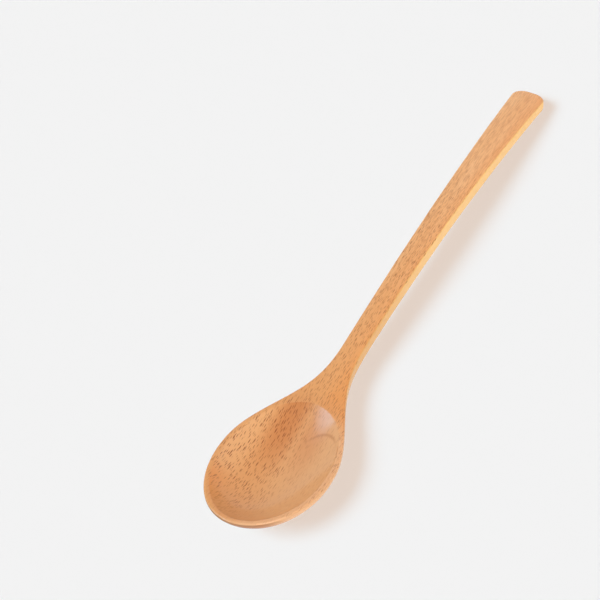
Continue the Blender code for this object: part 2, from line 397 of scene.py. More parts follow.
@dataclass(frozen=True)
class OiledBeech:
    """European beech, steamed, flat-sawn, sanded fine and oiled.

    Steaming gives the warm orange tan. The flat-sawn face shows the rays end on, as short dark
    flecks along the grain, and the growth rings as faint contours. The upright sides are sawn along
    the rays and look paler and yellower, and they are painted lighter on the right, as if lit from
    there, and darker by the neck and on the bowl's wall, as painted shade. The end grain drinks
    more oil and goes darker. The oil leaves a soft shine. Real fibres are under 0.1 mm wide, too
    fine to show in a picture of the whole spoon, so their cells are drawn about as wide as a pixel
    of it.
    """

    wood: str = "#F3BC86"
    roughness: float = 0.20
    ior: float = 1.5
    pore_depth_mm: float = 0.05
    pore_relief: float = 0.2
    pith_across_mm: float = 30.0
    pith_height_mm: float = -62.0
    ring_radius_mm: float = 72.3
    ring_width_mm: float = 4.2
    ring_line_mm: float = 0.22
    ring_strength: float = 0.45
    coarse_flecks: RayFlecks = RayFlecks((0.60, 4.6), 0.31, 1.15, 1.1, 0.0)
    fine_flecks: RayFlecks = RayFlecks((0.45, 3.4), 0.34, 1.0, 0.95, 37.0)
    fibre_cell_mm: Place = (0.42, 5.0, 2.0)
    streak_cell_mm: Place = (4.0, 80.0, 6.0)
    figure_detail: float = 2.0
    figure_roughness: float = 0.6
    heart_bands: tuple[HeartBand, HeartBand] = (
        HeartBand(-6.0, 8.5, 0.68, -100.0),
        HeartBand(4.0, 8.0, 0.42, -94.0),
    )
    # Fewer flecks towards the hollow's right, where rings show instead and a painted sheen washes them
    # out.
    fleck_losses_under_sheen: Limits = (
        Reading.INSIDE,
        Fade(Reading.ACROSS, (-5.0, 8.0), (0.0, 0.72)),
    )
    fleck_limits: Limits = (
        Reading.FLECKS,
        Fade(Reading.INSIDE, (0.0, 1.0), (0.7, 1.0)),
        Fade(Reading.ALONG, (-114.0, -92.0), (0.35, 1.0)),
        Fade(Reading.ALONG, (20.0, 85.0), (1.0, 0.22)),
        Fade(Reading.UPWARDS, (0.3, 0.7), (0.04, 1.0)),
    )
    tints: tuple[Tint, ...] = (
        Tint("dark streaks", "#EEB279", (Fade(Reading.STREAKS, (0.35, 0.65), (0.0, 1.0)),)),
        Tint("fibres", "#A8602E", (
            Fade(Reading.FIBRES, (0.42, 0.64), (0.0, 1.0)),
            Fade(Reading.ALONG, (20.0, 90.0), (0.42, 0.30)),
            Fade(Reading.UPWARDS, (0.3, 0.7), (0.3, 1.0)),
        )),
        Tint("deeper wood at the bowl", "#DF9B5B", (Fade(Reading.ALONG, (-60.0, 75.0), (0.9, 0.0)),)),
        # Warmer orange on the right half outside the hollow; on the bowl it turns pale pink, a painted
        # highlight along the rim.
        Tint("warm right edge and painted highlight on the rim", "#EB8E38", (
            Reading.OUTSIDE,
            Fade(Reading.ACROSS, (-3.0, 6.0), (0.0, 0.36)),
        ), "#FFD2AC", Fade(Reading.ALONG, (-72.0, -58.0), (1.0, 0.0))),
        # Partly the sides' own paler wood, partly painted light and shade: stronger on the right side, as
        # if lit from there, weaker on the bowl's wall and darker by the neck as painted shade.
        Tint("paler sides, lit at the right, painted shade by the neck", "#F9C779", (
            Fade(Reading.SIDEWAYS, (0.35, 0.8), (0.0, 1.0)),
            Fade(Reading.OUTSIDE, (0.0, 1.0), (0.3, 1.0)),
            Fade(Reading.ACROSS, (-3.0, 3.0), (0.4, 1.0)),
            Fade(Reading.ALONG, (-75.0, -35.0), (0.25, 1.0)),
        ), "#E4AC64", Fade(Reading.ALONG, (-35.0, 30.0), (1.0, 0.0))),
        Tint("end grain", "#9C5A2C", (
            Fade(Reading.ENDWAYS, (0.4, 0.8), (0.0, 0.75)),
            Fade(Reading.UPWARDS, (0.15, 0.6), (1.0, 0.1)),
            Fade(Reading.ALONG, (0.0, 60.0), (1.0, 0.35)),
        )),
        # Painted sheen: the hollow is laid paler towards its right, as the haze of the oil's shine.
        Tint("painted sheen haze on the hollow's right", "#D6AB86", (
            Reading.INSIDE,
            Fade(Reading.ACROSS, (-12.0, 10.0), (0.05, 0.32)),
        )),
        # Painted shade: the hollow's left wall, turned from the cool window, gets the plain wood colour
        # near the neck and a deep warm orange towards its front.
        Tint("painted warm shade on the hollow's left wall", "#F3BC86", (
            Reading.INSIDE,
            Fade(Reading.ACROSS, (-19.0, -7.0), (0.5, 0.0)),
        ), "#EB8E38", Fade(Reading.ALONG, (-104.0, -94.0), (1.0, 0.0))),
        Tint("heartwood", "#C06A28", (Reading.INSIDE, Reading.HEART)),
        Tint("growth ring", "#A8602E", (
            Reading.RINGS,
            Reading.INSIDE,
            Fade(Reading.ACROSS, (1.0, 6.0), (0.08, 1.0)),
            Fade(Reading.ACROSS, (15.0, 11.0), (0.08, 1.0)),
            Fade(Reading.ALONG, (-76.0, -70.0), (0.08, 1.0)),
        )),
        Tint("ray flecks", "#8A4014", (Reading.FLECKS,)),
    )

    def make(self) -> bpy.types.Material:
        """Make the material.

        Returns:
            The material.
        """
        material = make_material("oiled_beech", {"Roughness": self.roughness, "IOR": self.ior})
        tree = material.node_tree
        shader = tree.nodes["Principled BSDF"]
        readings = self.read_surface(tree)
        colour = linear_colour(self.wood)
        for tint in self.tints:
            colour = tint.add(tree, readings, colour)
        tree.links.new(colour, shader.inputs["Base Color"])
        relief = add_node(tree, "ShaderNodeMath", {
            0: readings[Reading.FIBRES], 1: readings[Reading.FLECKS],
        }, operation="SUBTRACT").outputs[0]
        bump = add_node(tree, "ShaderNodeBump", {
            "Height": relief, "Strength": self.pore_relief, "Distance": self.pore_depth_mm / MM_PER_M,
        })
        tree.links.new(bump.outputs["Normal"], shader.inputs["Normal"])
        return material

    def read_surface(self, tree: Tree) -> Readings:
        """Read where each point is and how it faces, and draw the patterns of the wood there.

        Args:
            tree: The material's tree.

        Returns:
            The readings that the tints and the relief follow.
        """
        coordinates = add_node(tree, "ShaderNodeTexCoord").outputs
        place = add_node(tree, "ShaderNodeMapping", {
            "Vector": coordinates["Object"], "Scale": (MM_PER_M,) * 3,
        }).outputs[0]
        parts = add_node(tree, "ShaderNodeSeparateXYZ", {0: place}).outputs
        normal = add_node(tree, "ShaderNodeSeparateXYZ", {0: coordinates["Normal"]}).outputs
        sideways, endways = (
            add_node(tree, "ShaderNodeMath", {0: part}, operation="ABSOLUTE").outputs[0]
            for part in (normal[0], normal[1])
        )
        inside = add_node(tree, "ShaderNodeAttribute", attribute_name=OPEN_GRAIN).outputs["Fac"]
        outside = add_node(tree, "ShaderNodeMath", {0: 1.0, 1: inside}, operation="SUBTRACT").outputs[0]
        log_place = self.add_log_place(tree, place)
        readings = {
            Reading.ACROSS: parts[0],
            Reading.ALONG: parts[1],
            Reading.SIDEWAYS: sideways,
            Reading.ENDWAYS: endways,
            Reading.UPWARDS: normal[2],
            Reading.INSIDE: inside,
            Reading.OUTSIDE: outside,
            Reading.STREAKS: self.add_figure(tree, log_place, self.streak_cell_mm),
            Reading.FIBRES: self.add_figure(tree, place, self.fibre_cell_mm),
            Reading.RINGS: self.add_rings(tree, log_place),
        }
        readings[Reading.HEART] = self.add_heart(tree, readings)
        readings[Reading.FLECKS] = self.add_flecks(tree, place, readings)
        return readings

    def add_log_place(self, tree: Tree, place: Socket) -> Socket:
        """Turn a place on the spoon into a place in the log: round the pith, along it and out from it.

        Args:
            tree: The material's tree.
            place: Each point's place on the spoon, in mm.

        Returns:
            Each point's place in the log, in mm.
        """
        parts = add_node(tree, "ShaderNodeSeparateXYZ", {0: place}).outputs
        across, height = (
            add_node(tree, "ShaderNodeMath", {0: part, 1: pith}, operation="SUBTRACT").outputs[0]
            for part, pith in ((parts[0], self.pith_across_mm), (parts[2], self.pith_height_mm))
        )
        flat = add_node(tree, "ShaderNodeCombineXYZ", {0: across, 2: height}).outputs[0]
        radius = add_node(tree, "ShaderNodeVectorMath", {0: flat}, operation="LENGTH").outputs["Value"]
        turn = add_node(tree, "ShaderNodeMath", {0: across, 1: height}, operation="ARCTAN2").outputs[0]
        arc = add_node(tree, "ShaderNodeMath", {
            0: turn, 1: self.ring_radius_mm,
        }, operation="MULTIPLY").outputs[0]
        return add_node(tree, "ShaderNodeCombineXYZ", {0: arc, 1: parts[1], 2: radius}).outputs[0]

    def add_figure(self, tree: Tree, place: Socket, cell_mm: Place) -> Socket:
        """Draw a soft pattern drawn out along the grain.

        Args:
            tree: The material's tree.
            place: The place that the pattern follows, in mm.
            cell_mm: The size of the pattern's cells.

        Returns:
            The pattern.
        """
        cell_place = add_node(tree, "ShaderNodeMapping", {
            "Vector": place, "Scale": tuple(1.0 / size for size in cell_mm),
        }).outputs[0]
        return add_node(tree, "ShaderNodeTexNoise", {
            "Vector": cell_place,
            "Scale": 1.0,
            "Detail": self.figure_detail,
            "Roughness": self.figure_roughness,
        }).outputs["Fac"]

    def add_rings(self, tree: Tree, log_place: Socket) -> Socket:
        """Draw the dark line where each growth ring ends.

        Args:
            tree: The material's tree.
            log_place: Each point's place in the log, in mm.

        Returns:
            How much of a line a point has.
        """
        off_ring = add_node(tree, "ShaderNodeSeparateXYZ", {0: log_place}).outputs[2]
        for step, value in (
            ("SUBTRACT", self.ring_radius_mm), ("DIVIDE", self.ring_width_mm), ("PINGPONG", 0.5),
        ):
            off_ring = add_node(tree, "ShaderNodeMath", {
                0: off_ring, 1: value,
            }, operation=step).outputs[0]
        line_share = self.ring_line_mm / self.ring_width_mm
        line = Fade(Reading.OFF_RING, (0.0, line_share), (self.ring_strength, 0.0))
        return line.add(tree, {Reading.OFF_RING: off_ring})

    def add_heart(self, tree: Tree, readings: Readings) -> Socket:
        """Draw the bands of heartwood that the hollow cuts into."""
        dark, faint = (band.add(tree, readings) for band in self.heart_bands)
        return add_node(tree, "ShaderNodeMath", {0: dark, 1: faint}, operation="MAXIMUM").outputs[0]

    def add_flecks(self, tree: Tree, place: Socket, readings: Readings) -> Socket:
        """Draw both layers of rays, fewer at the hollow's right and the ends and on upright faces.

        Args:
            tree: The material's tree.
            place: Each point's place on the spoon, in mm.
            readings: The surface's readings.

        Returns:
            How much of a fleck a point has, from 0 to 1.
        """
        coarse = self.coarse_flecks.add(tree, place)
        fine = self.fine_flecks.add(tree, place)
        both = add_node(tree, "ShaderNodeMath", {0: coarse, 1: fine}, operation="MAXIMUM").outputs[0]
        lost = add_share(tree, readings, self.fleck_losses_under_sheen)
        kept = add_node(tree, "ShaderNodeMath", {0: 1.0, 1: lost}, operation="SUBTRACT").outputs[0]
        flecks = add_node(tree, "ShaderNodeMath", {0: both, 1: kept}, operation="MULTIPLY").outputs[0]
        share = add_share(tree, {**readings, Reading.FLECKS: flecks}, self.fleck_limits)
        return add_node(tree, "ShaderNodeMath", {0: share, 1: 1.0}, operation="MINIMUM").outputs[0]


class SmoothCurve:
    """A smooth curve through (along, value) stations."""

    def __init__(self, stations: list[Point]) -> None:
        """Work out the slope at each station.

        Args:
            stations: Places along the spoon in order, each with the value there.
        """
        self.places = [place for place, _ in stations]
        self.values = [value for _, value in stations]
        self.spans = [after - before for before, after in zip(self.places, self.places[1:])]
        rises = [after - before for before, after in zip(self.values, self.values[1:])]
        steps = [rise / span for rise, span in zip(rises, self.spans)]
        inner = [
            (step * next_span + next_step * span) / (span + next_span)
            for step, next_step, span, next_span in zip(steps, steps[1:], self.spans, self.spans[1:])
        ]
        self.slopes = [2.0 * steps[0] - inner[0], *inner, 2.0 * steps[-1] - inner[-1]]

    def __call__(self, along: float) -> float:
        """Read the curve.

        Args:
            along: A place along the spoon.

        Returns:
            The curve's value there.
        """
        index = sum(1 for place in self.places[1:-1] if along > place)
        span = self.spans[index]
        t = (along - self.places[index]) / span
        return (
            (2.0 * t**3 - 3.0 * t**2 + 1.0) * self.values[index]
            + (t**3 - 2.0 * t**2 + t) * span * self.slopes[index]
            + (3.0 * t**2 - 2.0 * t**3) * self.values[index + 1]
            + (t**3 - t**2) * span * self.slopes[index + 1]
        )


@dataclass(frozen=True)
class SpoonForm:
    """Sizes of the spoon, and the heights and widths that follow from them.

    Its length and its bowl's width come from the spoon's part in model.glb, and the handle takes
    up what the other lengths leave.
    """

    length: float
    bowl_width: float
    tip_to_widest: float = 0.031
    widest_to_hollow_end: float = 0.0302
    hollow_end_to_dip: float = 0.0048
    dip_to_neck: float = 0.0284
    neck_to_arch: float = 0.0406
    neck_width: float = 0.0081
    end_width: float = 0.0139
    end_corner_width: float = 0.0057
    end_corner_length: float = 0.0049
    rim_width: float = 0.0019
    foot_width: float = 0.0090
    tip_height: float = 0.0168
    rim_height: float = 0.0114
    dip_height: float = 0.0087
    neck_height: float = 0.0116
    arch_height: float = 0.0137
    floor_thickness: float = 0.0034
    neck_thickness: float = 0.0072
    handle_thickness: float = 0.0080
    end_thickness: float = 0.0061
    edge_radius: float = 0.0008
    hollow_edge_radius: float = 0.0006
    end_lower_radius: float = 0.0012
    side_wall: float = 0.0012
    bowl_tip_squareness: float = 1.97
    shoulder_fullness: float = 2.2
    shoulder_hollowing: float = 4.07
    handle_flare: float = 1.75
    hollow_end_squareness: float = 2.0
    hollow_roundness: float = 2.2
    bowl_roundness: float = 1.95
    bowl_tip_sweep: float = 1.46
    handle_squareness: float = 4.0
    corner_share: float = 0.85

    def __post_init__(self) -> None:
        """Work out the places along the spoon and the curves of its upper side and thickness."""
        widest = self.tip_to_widest
        dip = widest + self.widest_to_hollow_end + self.hollow_end_to_dip
        neck = dip + self.dip_to_neck
        arch = neck + self.neck_to_arch
        end_rest = self.length - self.end_lower_radius
        bowl_heights = [(0.0, self.tip_height), (widest, self.rim_height), (dip, self.dip_height)]
        handle_heights = [(neck, self.neck_height), (arch, self.arch_height)]
        handle_thicknesses = [(neck, self.neck_thickness), (arch, self.handle_thickness)]
        last = (end_rest, self.end_thickness)
        object.__setattr__(self, "widest", widest)
        object.__setattr__(self, "dip", dip)
        object.__setattr__(self, "neck", neck)
        object.__setattr__(self, "end_rest", end_rest)
        object.__setattr__(self, "top_height", SmoothCurve([*bowl_heights, *handle_heights, last]))
        object.__setattr__(self, "thickness", SmoothCurve([*handle_thicknesses, last]))

    @property
    def half_hollow(self) -> float:
        """Half the hollow's greatest width."""
        return self.bowl_width / 2.0 - self.rim_width

    @property
    def corner_start(self) -> float:
        """Place along the spoon where the end's rounded corners start."""
        return self.length - self.end_corner_length

    def half_width(self, along: float) -> float:
        """Half the outline's width, seen from above.

        Args:
            along: A place along the spoon.

        Returns:
            Half the width there.
        """
        half_bowl = self.bowl_width / 2.0
        half_neck = self.neck_width / 2.0
        if along <= self.widest:
            share = (self.widest - along) / self.tip_to_widest
            return half_bowl * (1.0 - quarter_curve(share, self.bowl_tip_squareness))
        if along <= self.neck:
            share = (along - self.widest) / (self.neck - self.widest)
            swell = (1.0 - share**self.shoulder_fullness) ** self.shoulder_hollowing
            return half_neck + (half_bowl - half_neck) * swell
        share = (along - self.neck) / (self.length - self.neck)
        half_handle = half_neck + (self.end_width / 2.0 - half_neck) * share**self.handle_flare
        into_corner = (along - self.corner_start) / self.end_corner_length
        corner_width = min(self.end_corner_width, self.corner_share * half_handle)
        return half_handle - corner_width * quarter_curve(into_corner, ROUND)

    def edge_height(self, along: float) -> float:
        """Height where the upright wall under the upper edge ends."""
        return self.top_height(along) - self.side_wall

    def handle_underside_height(self, along: float) -> float:
        """Height of the handle's underside on the middle line.

        Args:
            along: A place along the handle.

        Returns:
            The height there.
        """
        into_end = (along - self.end_rest) / self.end_lower_radius
        rounding = self.end_lower_radius * quarter_curve(into_end, ROUND)
        return self.top_height(along) - self.thickness(max(along, self.neck)) + rounding

    def foot_cut(self) -> float:
        """Depth that sanding takes off under the bowl to leave a flat foot of its width."""
        rise = quarter_curve(self.foot_width / self.bowl_width, self.bowl_roundness)
        return self.edge_height(self.widest) * rise / (1.0 - rise)

    def keel_height(self, along: float) -> float:
        """Height of the uncut underside on the middle line, a little under the table at the foot.

        Args:
            along: A place along the spoon.

        Returns:
            The height there.
        """
        if along <= self.widest:
            rise = quarter_curve((self.widest - along) / self.tip_to_widest, self.bowl_tip_sweep)
            target = self.edge_height(along)
        else:
            rise = smooth_step((along - self.widest) / (self.neck - self.widest))
            target = self.handle_underside_height(along)
        return (target + self.foot_cut()) * rise - self.foot_cut()

    def underside_height(self, across: float, along: float) -> float:
        """Height of the underside, which turns from a round bowl into a handle with rounded edges.

        Args:
            across: The distance from the middle line.
            along: A place along the spoon.

        Returns:
            The height there.
        """
        share = abs(across) / max(self.half_width(along), self.edge_radius)
        blend = smooth_step((along - self.widest) / (self.neck - self.widest))
        squareness = self.bowl_roundness + (self.handle_squareness - self.bowl_roundness) * blend
        keel = self.keel_height(along)
        return keel + (self.edge_height(along) - keel) * quarter_curve(share, squareness)

    def hollow_height(self, along: float, share: float) -> float:
        """Height of the hollow's surface at a share of the way out from its middle."""
        rise = share**self.hollow_roundness
        return self.floor_thickness + (self.top_height(along) - self.floor_thickness) * rise


@dataclass(frozen=True)
class CarvedSpoon:
    """The carved surface, grown ring by ring from the middles of the hollow and of the underside.

    Counts say how finely it is divided. Sanding by hand takes off hand_sanding at most, and the
    share steady_sanding of it on average.
    """

    form: SpoonForm
    finish: OiledBeech = OiledBeech()
    front_steps: int = 44
    shoulder_steps: int = 44
    upper_columns: int = 3
    lower_columns: int = 18
    hollow_rings: int = 40
    underside_rings: int = 40
    handle_stations: int = 170
    corner_stations: int = 14
    edge_segments: int = 6
    hollow_centre_share: float = 0.02
    ring_spacing: float = 0.8
    column_lean: float = 4.0
    foot_halvings: int = 30
    hollow_edge_share: float = 0.4
    rim_edge_share: float = 0.55
    wall_edge_share: float = 0.9
    seam_tolerance: float = 0.00001
    side_share: float = 0.999
    hand_sanding: float = 0.00015
    steady_sanding: float = 0.6
    sanding_spread: float = 0.011
    edge_grain: float = 0.3

    def front_quarter(self, step: int, half_across: float, length: float) -> Point:
        """Point of the front quarter of an oval round the widest place.

        Args:
            step: Steps round the quarter, from the tip.
            half_across: Half the oval's width.
            length: The quarter's length, from the tip to the widest place.

        Returns:
            The point's distance across and its distance along.
        """
        angle = QUARTER_TURN * step / self.front_steps
        exponent = 2.0 / self.form.bowl_tip_squareness
        across = half_across * math.sin(angle) ** exponent
        return across, self.form.widest - length * max(0.0, math.cos(angle)) ** exponent

    def hollow_point(self, step: int) -> Point:
        """Point of the hollow's edge.

        Args:
            step: Steps round the right half, from the tip to the middle line at the neck.

        Returns:
            The point's distance across and its distance along.
        """
        form = self.form
        side_steps = self.front_steps + self.shoulder_steps
        if step <= self.front_steps:
            return self.front_quarter(step, form.half_hollow, form.tip_to_widest - form.rim_width)
        exponent = 2.0 / form.hollow_end_squareness
        neck_share = min(1.0, form.half_width(form.dip) / form.half_hollow)
        if step <= side_steps:
            corner_angle = math.acos(neck_share ** (1.0 / exponent))
            angle = corner_angle * (step - self.front_steps) / self.shoulder_steps
        else:
            column_share = (side_steps + self.upper_columns - step) / self.upper_columns
            angle = math.acos((neck_share * column_share) ** (1.0 / exponent))
        across = form.half_hollow * math.cos(angle) ** exponent
        return across, form.widest + form.widest_to_hollow_end * math.sin(angle) ** exponent

    def outline_point(self, step: int, columns: int, column_share: Spread) -> Point:
        """Point of the outline for a step, or of the line where the handle starts.

        Args:
            step: Steps round the right half, from the tip to the middle line at the dip.
            columns: Columns across half the handle.
            column_share: How the columns are spread, from the middle line outwards.

        Returns:
            The point's distance across and its distance along.
        """
        form = self.form
        side_steps = self.front_steps + self.shoulder_steps
        if step <= self.front_steps:
            return self.front_quarter(step, form.bowl_width / 2.0, form.tip_to_widest)
        if step > side_steps:
            share = column_share(side_steps + columns - step, columns)
            return share * form.half_width(form.dip), form.dip
        _, hollow_along = self.hollow_point(step)
        _, hollow_corner = self.hollow_point(side_steps)
        share = (step - self.front_steps) / self.shoulder_steps
        along = hollow_along + (form.dip - hollow_corner) * share**self.column_lean
        return form.half_width(along), along

    def narrowest_rim(self) -> float:
        """Find the narrowest place of the rim, between the hollow and the outline.

        Returns:
            The rim's width there.
        """
        steps = range(self.front_steps + self.shoulder_steps + 1)
        outline = self.outline(self.upper_columns, even_share)
        return min(math.dist(self.hollow_point(step), point) for step, point in zip(steps, outline))

    def spokes(self, columns: int) -> int:
        """How many spokes a whole round has."""
        return 2 * (self.front_steps + self.shoulder_steps + columns)

    @staticmethod
    def mirrored(point_of_step: Callable[[int], Point], spokes: int) -> list[Point]:
        """Points for every spoke of a round, from the function for the steps of its right half."""
        half = [point_of_step(step) for step in range(spokes // 2 + 1)]
        return [*half, *((-across, along) for across, along in half[-2:0:-1])]

    def outline(self, columns: int, column_share: Spread) -> list[Point]:
        """Points of the whole outline, one for each spoke, for outline_point's columns and spread."""
        spokes = self.spokes(columns)
        return self.mirrored(lambda step: self.outline_point(step, columns, column_share), spokes)

    @staticmethod
    def start_ring(bm: Mesh, places: list[Place], mark: Mark = Mark.PLAIN) -> Edges:
        """Start a surface with a flat polygon, one vertex for each spoke.

        Args:
            bm: The mesh.
            places: The place of each spoke's vertex.
            mark: What the vertices belong to.

        Returns:
            The polygon's edges.
        """
        spoke_layer = bm.verts.layers.int["spoke"]
        mark_layer = bm.verts.layers.int["mark"]
        ring = bmesh.ops.create_circle(bm, cap_ends=True, segments=len(places), radius=1.0)["verts"]
        for spoke, (vert, place) in enumerate(zip(ring, places)):
            vert[spoke_layer] = spoke
            vert[mark_layer] = mark
            vert.co = place
        return list(dict.fromkeys(edge for vert in ring for edge in vert.link_edges))

    @staticmethod
    def grow(bm: Mesh, edges: Edges, places: list[Place], mark: Mark = Mark.PLAIN) -> Edges:
        """Extrude a ring outwards.

        Args:
            bm: The mesh.
            edges: The open edges to extrude.
            places: The new place of each spoke's vertex.
            mark: What the new vertices belong to.

        Returns:
            The new open edges.
        """
        spoke_layer = bm.verts.layers.int["spoke"]
        mark_layer = bm.verts.layers.int["mark"]
        verts, new_edges = extrude(bm, edges)
        for vert in verts:
            vert.co = places[vert[spoke_layer]]
            vert[mark_layer] = mark
        return new_edges

    def make_upper_side(self, bm: Mesh) -> Edges:
        """Make the hollow, its rim and the shoulder.

        Args:
            bm: The mesh.

        Returns:
            The edges of the outline.
        """
        form = self.form
        middle = (0.0, form.widest)
        hollow = self.mirrored(self.hollow_point, self.spokes(self.upper_columns))
        outline = self.outline(self.upper_columns, even_share)

        def hollow_ring(share: float) -> list[Place]:
            """Places of the ring at a share of the way out."""
            points = [towards(point, middle, share) for point in hollow]
            return [(across, along, form.hollow_height(along, share)) for across, along in points]

        edges = self.start_ring(bm, hollow_ring(self.hollow_centre_share), Mark.INSIDE)
        for ring in range(1, self.hollow_rings + 1):
            outwards = (ring / self.hollow_rings) ** self.ring_spacing
            share = self.hollow_centre_share + (1.0 - self.hollow_centre_share) * outwards
            mark = Mark.HOLLOW if ring == self.hollow_rings else Mark.INSIDE
            edges = self.grow(bm, edges, hollow_ring(share), mark)
        places = [(across, along, form.top_height(along)) for across, along in outline]
        return self.grow(bm, edges, places)

    def make_side_wall(self, bm: Mesh, top_edges: Edges) -> None:
        """Make the upright wall under the rim, and leave the line where the handle starts open.

        Args:
            bm: The mesh.
            top_edges: The edges of the outline.
        """
        mark_layer = bm.verts.layers.int["mark"]
        before_dip = self.form.dip - self.seam_tolerance
        outer_edges = [edge for edge in top_edges if min(vert.co.y for vert in edge.verts) < before_dip]
        for edge in outer_edges:
            for vert in edge.verts:
                vert[mark_layer] = Mark.UPPER
        verts, _ = extrude(bm, outer_edges)
        for vert in verts:
            vert.co.z = self.form.edge_height(vert.co.y)
            vert[mark_layer] = Mark.PLAIN

    def foot_share(self, edge_point: Point, middle: Point) -> float:
        """Find where the underside leaves the table on the way out from the middle.

        Args:
            edge_point: The outline's point at the end of the way.
            middle: The middle of the foot.

        Returns:
            The share of the way.
        """
        inner, outer = 0.0, 1.0
        for _ in range(self.foot_halvings):
            share = 0.5 * (inner + outer)
            on_table = self.form.underside_height(*towards(edge_point, middle, share)) < 0.0
            inner, outer = (share, outer) if on_table else (inner, share)
        return inner

    def make_underside(self, bm: Mesh) -> None:
        """Make the bowl's underside, from its foot out to the wall and to where the handle starts.

        Args:
            bm: The mesh.
        """
        form = self.form
        spokes = self.spokes(self.lower_columns)
        side_steps = self.front_steps + self.shoulder_steps
        middle = (0.0, form.widest)
        outline = self.outline(self.lower_columns, rounded_share)
        feet = [self.foot_share(point, middle) for point in outline]

        def ring_points(turn: float) -> list[Point]:
            """Points of the ring at a share of the way from the foot to the outline."""
            shares = [foot + (1.0 - foot) * turn for foot in feet]
            return [towards(point, middle, share) for point, share in zip(outline, shares)]

        edges = self.start_ring(bm, [(across, along, 0.0) for across, along in ring_points(0.0)])
        for ring in range(1, self.underside_rings):
            turn = math.sin(QUARTER_TURN * ring / self.underside_rings)
            points = ring_points(turn)
            edges = self.grow(bm, edges, [(*point, form.underside_height(*point)) for point in points])
        last = []
        for spoke, point in enumerate(outline):
            on_wall = min(spoke, spokes - spoke) <= side_steps
            height = form.edge_height(point[1]) if on_wall else form.underside_height(*point)
            last.append((*point, height))
        self.grow(bm, edges, last)

    def close_seam(self, bm: Mesh) -> None:
        """Join the wall's lower edge to the underside."""
        open_verts = dict.fromkeys(vert for edge in bm.edges if edge.is_boundary for vert in edge.verts)
        bmesh.ops.remove_doubles(bm, verts=list(open_verts), dist=self.seam_tolerance)

    def stations(self) -> list[float]:
        """Space out the handle's sections, closer together round the corners of its end.

        Returns:
            Places along the spoon.
        """
        form = self.form
        step = (form.corner_start - form.dip) / self.handle_stations
        straight = [form.dip + step * number for number in range(1, self.handle_stations + 1)]
        turns = [
            math.sin(QUARTER_TURN * number / self.corner_stations)
            for number in range(1, self.corner_stations + 1)
        ]
        return [*straight, *(form.corner_start + form.end_corner_length * turn for turn in turns)]

    def make_handle(self, bm: Mesh) -> None:
        """Extrude the open section along the handle, and close it at the end.

        Args:
            bm: The mesh.
        """
        form = self.form
        share_layer = bm.verts.layers.float["share"]
        upper_layer = bm.verts.layers.int["upper"]
        mark_layer = bm.verts.layers.int["mark"]
        edges = [edge for edge in bm.edges if edge.is_boundary]
        for vert in dict.fromkeys(vert for edge in edges for vert in edge.verts):
            vert[share_layer] = vert.co.x / form.half_width(form.dip)
            vert[upper_layer] = int(vert.co.z > form.top_height(form.dip) - 0.5 * form.side_wall)
        for along in self.stations():
            at_end = along > form.length - self.seam_tolerance
            verts, edges = extrude(bm, edges)
            for vert in verts:
                across = vert[share_layer] * form.half_width(along)
                upper = vert[upper_layer]
                on_side = abs(vert[share_layer]) > self.side_share
                lower = form.edge_height(along) if on_side else form.underside_height(across, along)
                vert.co = across, along, form.top_height(along) if upper else lower
                vert[mark_layer] = Mark.UPPER if upper and (on_side or at_end) else Mark.PLAIN
        bmesh.ops.edgeloop_fill(bm, edges=edges)

    def merge_end_top(self, bm: Mesh) -> None:
        """Make one face of the upper side between the rounded corners, so its edge can be rounded.

        Args:
            bm: The mesh.
        """
        upper_layer = bm.verts.layers.int["upper"]
        corner_start = self.form.corner_start - self.seam_tolerance
        faces = [
            face for face in bm.faces
            if all(vert[upper_layer] and vert.co.y > corner_start for vert in face.verts)
        ]
        bmesh.ops.dissolve_faces(bm, faces=faces, use_verts=False)

    def round_edges(self, bm: Mesh, mark: Mark, radius: float) -> None:
        """Round the edges between vertices with the same mark.

        Args:
            bm: The mesh.
            mark: The mark of the edges to round.
            radius: How far from the edge the rounding starts.
        """
        mark_layer = bm.verts.layers.int["mark"]
        edges = [edge for edge in bm.edges if all(vert[mark_layer] == mark for vert in edge.verts)]
        bmesh.ops.bevel(
            bm,
            geom=edges,
            offset=radius,
            offset_type="OFFSET",
            affect="EDGES",
            segments=self.edge_segments,
            profile=0.5,
            clamp_overlap=True,
            material=-1,
        )

    def sand_by_hand(self, bm: Mesh) -> None:
        """Take a little off the surface here and there, as sanding by hand does.

        Args:
            bm: The mesh.
        """
        bm.normal_update()
        for vert in bm.verts:
            wander = noise.noise(vert.co / self.sanding_spread)
            depth = self.steady_sanding + (1.0 - self.steady_sanding) * wander
            vert.co -= vert.normal * self.hand_sanding * depth

    def mark_open_grain(self, bm: Mesh) -> None:
        """Keep how far each vertex is inside the hollow, and drop the layers used while carving.

        Args:
            bm: The mesh.
        """
        open_grain = bm.verts.layers.float.new(OPEN_GRAIN)
        mark_layer = bm.verts.layers.int["mark"]
        shares = {Mark.INSIDE: 1.0, Mark.HOLLOW: self.edge_grain}
        for vert in bm.verts:
            vert[open_grain] = shares.get(vert[mark_layer], 0.0)
        for name in ("spoke", "mark", "upper"):
            bm.verts.layers.int.remove(bm.verts.layers.int[name])
        bm.verts.layers.float.remove(bm.verts.layers.float["share"])

